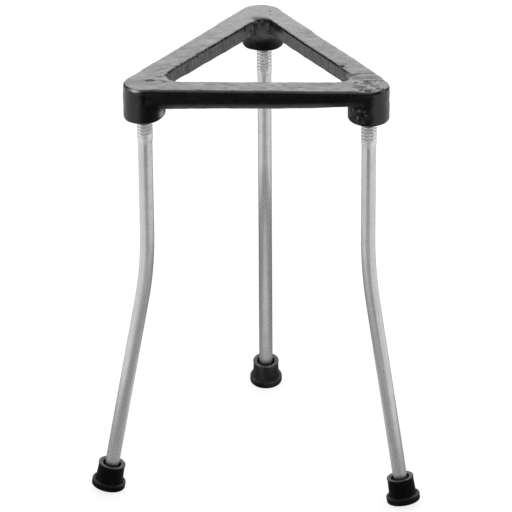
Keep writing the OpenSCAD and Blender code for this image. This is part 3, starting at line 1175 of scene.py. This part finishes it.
# rays see the first shader, or the second one by the share given
def finishTree(tree, kind, share, first, second):
    blend = addNode(tree, "ShaderNodeMixShader", share, first.outputs[0], second.outputs[0])
    addNode(tree, kind, blend.outputs[0])


def makeFloor():
    bpy.ops.mesh.primitive_plane_add(size=studio["floorSize"])
    floor = bpy.context.object
    floor.name = "floor"
    material = bpy.data.materials.new("whiteFloor")
    tree = emptyTree(material)
    paths = tree.nodes.new("ShaderNodeLightPath").outputs
    direct = Value(paths["Is Camera Ray"])
    seen = direct.do("MAXIMUM", paths["Is Glossy Ray"]).do("MAXIMUM", paths["Is Transmission Ray"])
    place = tree.nodes.new("ShaderNodeNewGeometry").outputs["Position"]
    away = Value(addNode(tree, "ShaderNodeVectorMath", place, operation="LENGTH").outputs["Value"])
    far = away.do("MULTIPLY_ADD", 1 / studio["shadowReach"], -1.0, clamp=True)
    share = (seen * (1 - studio["shadowShare"])).do("MAXIMUM", direct * far)
    matt = addNode(tree, "ShaderNodeBsdfDiffuse", grey(studio["floorWhite"]))
    white = addNode(tree, "ShaderNodeEmission", grey(1.0), 1.0)
    finishTree(tree, "ShaderNodeOutputMaterial", share, matt, white)
    floor.data.materials.append(material)


# painted shade: dark sheets on the floor that only reflections see, each fading towards its edges
def addShadeSheet(name, corners, shadeAmount):
    mesh = bpy.data.meshes.new(name)
    flat = [(x, y, studio[name]["height"]) for x, y in corners]
    mesh.from_pydata(flat, [], [tuple(range(len(corners)))])
    shadeSheet = addObject(name, mesh)
    material, tree, shader, place = newMaterial(name)
    x, y, _ = map(Value, addNode(tree, "ShaderNodeSeparateXYZ", place).outputs)
    black = grey(studio["shadeSheetGrey"])
    feed(shader, {"Alpha": shadeAmount(x, y), "Base Color": black, "Roughness": 1.0})
    mesh.materials.append(material)
    shadeSheet.visible_camera = False
    shadeSheet.visible_diffuse = False
    shadeSheet.visible_shadow = False


def addLongShadeSheet(name):
    c = studio[name]
    toward = 1 if c["far"] > c["near"] else -1
    reach = abs(c["far"] - c["near"])
    side = c["half"] + c["wider"] + c["soft"] + (c["halfGrowth"] + c["softGrowth"]) * reach
    nearDark, midDark, farDark = c["dark"]

    def shadeAmount(x, y):
        away = (y - c["near"]) * toward
        past = eased(away, *c["step"])
        half = past * c["wider"] + c["half"] + away * c["halfGrowth"]
        soft = away * c["softGrowth"] + c["soft"]
        edge = ((x - c["middle"]).do("ABSOLUTE") - half) / soft
        dark = spread(away, *c["darkens"], nearDark, midDark) + past * (farDark - midDark)
        return dark * eased(edge, 0.0, 1.0, 1.0, 0.0)

    low, high = sorted((c["near"], c["far"]))
    left, right = c["middle"] - side, c["middle"] + side
    addShadeSheet(name, [(left, low), (right, low), (right, high), (left, high)], shadeAmount)


def addRoundShadeSheet(name):
    c = studio[name]
    cx, cy = c["middle"]
    side = c["half"] + c["soft"]

    def shadeAmount(x, y):
        def awayFrom(px, py):
            dx, dy = x - px, y - py
            return (dx * dx + dy * dy).do("SQRT")

        dark = spread(y, *c["darkens"], *c["dark"])
        edge = eased(awayFrom(cx, cy), c["half"], side, 1.0, 0.0)
        middle = eased(awayFrom(*c["lighterAt"]), *c["lighterRim"], 1 - c["lighter"], 1.0)
        return dark * edge * middle

    count = studio["shadeSheetCorners"]
    turns = [math.tau * i / count for i in range(count)]
    addShadeSheet(name, [(cx + side * math.cos(a), cy + side * math.sin(a)) for a in turns], shadeAmount)


def makeWorld():
    world = bpy.data.worlds.new("studio")
    scene.world = world
    tree = emptyTree(world)
    paths = tree.nodes.new("ShaderNodeLightPath").outputs
    diffuse, reflected = studio["worldDiffuse"], studio["worldReflected"]
    level = Value(paths["Is Glossy Ray"]) * (reflected - diffuse) + diffuse
    soft = addNode(tree, "ShaderNodeBackground", grey(1.0), level)
    white = addNode(tree, "ShaderNodeBackground", grey(1.0), 1.0)
    finishTree(tree, "ShaderNodeOutputWorld", paths["Is Camera Ray"], soft, white)


def makePanel(name, panel):
    light = bpy.data.lights.new(name, "AREA")
    light.shape = "RECTANGLE"
    light.size, light.size_y = panel["size"]
    light.energy = panel["watts"]
    lamp = addObject(name, light)
    lamp.location = panel["at"]
    aim = Vector(studio["panelAim"]) - Vector(panel["at"])
    lamp.rotation_euler = aim.to_track_quat("-Z", "Y").to_euler()
    lamp.visible_camera = False


makeFloor()
addLongShadeSheet("frontShadeSheet")
addLongShadeSheet("backShadeSheet")
addRoundShadeSheet("underShadowSheet")
makeWorld()
for name, panel in studio["panels"].items():
    makePanel(name, panel)
print("studio made")

# Camera: a long lens from the front, a little to the left of the front bar's middle
camera = {
    "lens": 250.2,
    "sensor": 36,
    "clip": (0.05, 40),
    "distance": 1803.6,
    "above": math.radians(25.698),
    "aside": math.radians(2.496),
    "roll": math.radians(0.4117),
    "aim": (-2.27, -99.94),  # from the middle of the top face, along the view's right and up
}


def makeCamera():
    c = camera
    turn = Matrix.Rotation(c["aside"], 3, "Z")
    ahead = turn @ Vector((0, math.cos(c["above"]), -math.sin(c["above"])))
    up = turn @ Vector((0, math.sin(c["above"]), math.cos(c["above"])))
    right = turn @ Vector((1, 0, 0))
    at = Vector((0, 0, stand["height"])) + right * c["aim"][0] + up * c["aim"][1]
    at -= ahead * c["distance"]
    seenRight = right * math.cos(c["roll"]) - up * math.sin(c["roll"])
    seenUp = right * math.sin(c["roll"]) + up * math.cos(c["roll"])
    data = bpy.data.cameras.new("camera")
    data.lens = c["lens"]
    data.sensor_width = c["sensor"]
    data.clip_start, data.clip_end = c["clip"]
    eye = addObject("camera", data)
    pose = Matrix((seenRight, seenUp, -ahead)).transposed().to_4x4()
    pose.translation = at * mm
    eye.matrix_world = pose
    scene.camera = eye


makeCamera()
scene.view_settings.view_transform = "Standard"
